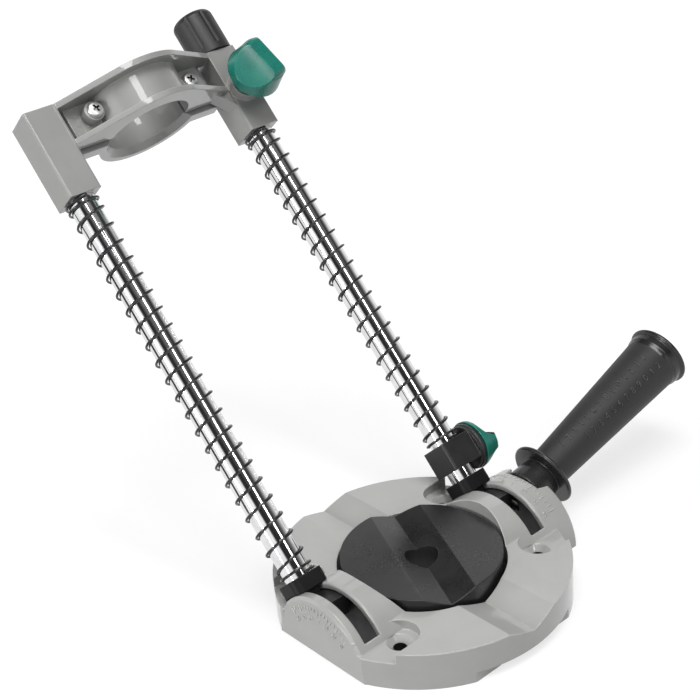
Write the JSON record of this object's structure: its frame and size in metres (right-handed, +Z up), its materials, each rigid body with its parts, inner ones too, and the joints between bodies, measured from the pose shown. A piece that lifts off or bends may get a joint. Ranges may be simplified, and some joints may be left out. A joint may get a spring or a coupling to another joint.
{
  "type": "angle drill stand",
  "caption": "Portable angle drill stand: a round grooved base, sprung chrome columns that tilt on curved tracks, a sliding split collar clamp, depth stop and side handle.",
  "frame": {"origin": "centre of the base's underside, which lies on the tilt axis", "axes": "+Z up from the work; +Y along the tilt axis towards the side handle; +X along the base's vee groove, away from the lean of the columns"},
  "size_m": [0.2473, 0.2145, 0.2049],
  "materials": {
    "cast_grey": "sand-textured grey casting",
    "black_plastic": "matt black moulding",
    "green_plastic": "satin green moulding",
    "chrome_tube": "polished chrome plate",
    "spring_steel": "blackened spring wire",
    "plated_steel": "zinc-plated steel"
  },
  "bodies": {
    "base": {"base_casting": "cast_grey"},
    "insert": {"centre_insert": "black_plastic"},
    "columns": {"left_foot": "black_plastic", "right_foot": "black_plastic", "left_slide": "black_plastic", "right_slide": "black_plastic", "left_column": "chrome_tube", "right_column": "chrome_tube", "column_plugs": "plated_steel", "column_screws": "plated_steel", "left_spring": "spring_steel", "right_spring": "spring_steel", "column_cap": "black_plastic"},
    "carriage": {"carriage": "cast_grey", "rear_clamp": "cast_grey", "clamp_screws": "plated_steel"},
    "lock": {"lock_knob": "green_plastic", "lock_stud": "plated_steel"},
    "stop": {"stop_collar": "black_plastic"},
    "stop_screw": {"stop_knob": "green_plastic", "stop_stud": "plated_steel"},
    "handle": {"handle_grip": "black_plastic", "handle_stud": "plated_steel"}
  },
  "joints": [
    {"name": "insert_turn", "type": "hinge", "parent": "base", "child": "insert", "pos_m": [0, 0, 0.005], "axis": [0, 0, 1], "continuous": true},
    {"name": "column_tilt", "type": "hinge", "parent": "base", "child": "columns", "pos_m": [0, 0, 0], "axis": [0, 1, 0], "range_deg": [-2.9, 87.1]},
    {"name": "carriage_slide", "type": "slide", "parent": "columns", "child": "carriage", "axis": [0.6704, 0, -0.742], "range_m": [0, 0.095], "stiffness_N_per_m": 150, "springref_m": -0.03, "deforming": ["left_spring", "right_spring"]},
    {"name": "lock_turn", "type": "hinge", "parent": "carriage", "child": "lock", "pos_m": [-0.13822, 0.0472, 0.1828], "axis": [0.742, 0, 0.6704], "range_deg": [0, 180]},
    {"name": "stop_slide", "type": "slide", "parent": "columns", "child": "stop", "axis": [-0.6704, 0, 0.742], "range_m": [0, 0.035], "deforming": ["right_spring"]},
    {"name": "stop_turn", "type": "hinge", "parent": "stop", "child": "stop_screw", "pos_m": [-0.02836, 0.06, 0.03139], "axis": [0, 1, 0], "range_deg": [0, 180]},
    {"name": "handle_turn", "type": "hinge", "parent": "base", "child": "handle", "pos_m": [0, 0.0665, 0.0185], "axis": [0, 0.9532, 0.3024], "range_deg": [0, 180]}
  ]
}
